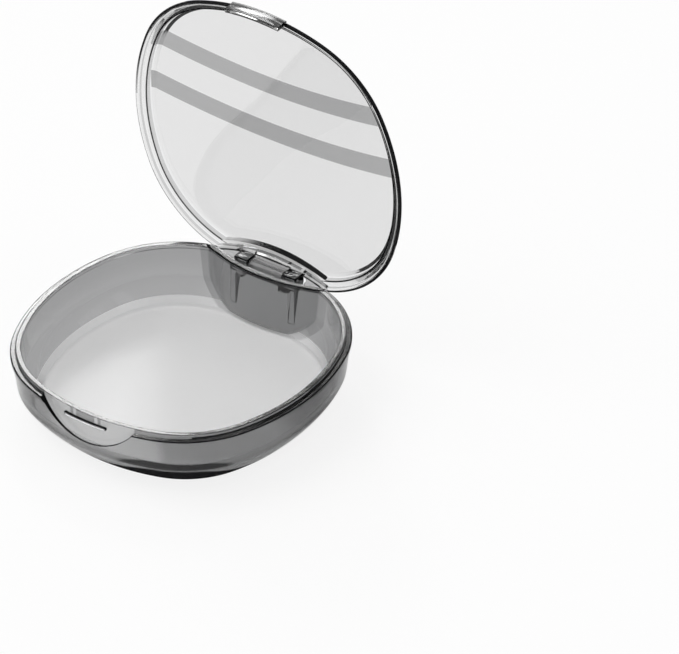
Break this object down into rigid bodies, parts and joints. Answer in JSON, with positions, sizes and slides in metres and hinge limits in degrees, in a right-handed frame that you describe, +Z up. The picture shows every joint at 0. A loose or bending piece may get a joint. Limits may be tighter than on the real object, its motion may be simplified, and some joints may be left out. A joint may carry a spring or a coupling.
{
  "type": "orthodontic retainer case",
  "caption": "Shallow rounded hard case of smoky clear plastic with a hinged lid, a front latch flap and a finger scoop, standing open to hold a dental retainer.",
  "frame": {"origin": "middle of the tray's flat underside, at half the case's depth and on its plane of symmetry", "axes": "+Z up out of the tray, -Y to the front with the latch, +Y to the back with the hinge, +X to the right seen from the front"},
  "size_m": [0.0836, 0.0862, 0.0974],
  "materials": {
    "smoky_plastic": "glossy, see-through, smoke grey",
    "clear_plastic": "glossy, see-through, pale smoke grey with satin bands",
    "pin_plastic": "glossy, see-through, smoke grey"
  },
  "bodies": {
    "base": {"tray": "smoky_plastic", "hinge_pin": "pin_plastic"},
    "cover": {"lid": "clear_plastic"}
  },
  "joints": [
    {"name": "lid_hinge", "type": "hinge", "parent": "base", "child": "cover", "pos_m": [0, 0.039, 0.0157], "axis": [-1, 0, 0], "range_deg": [-87, 13]}
  ]
}
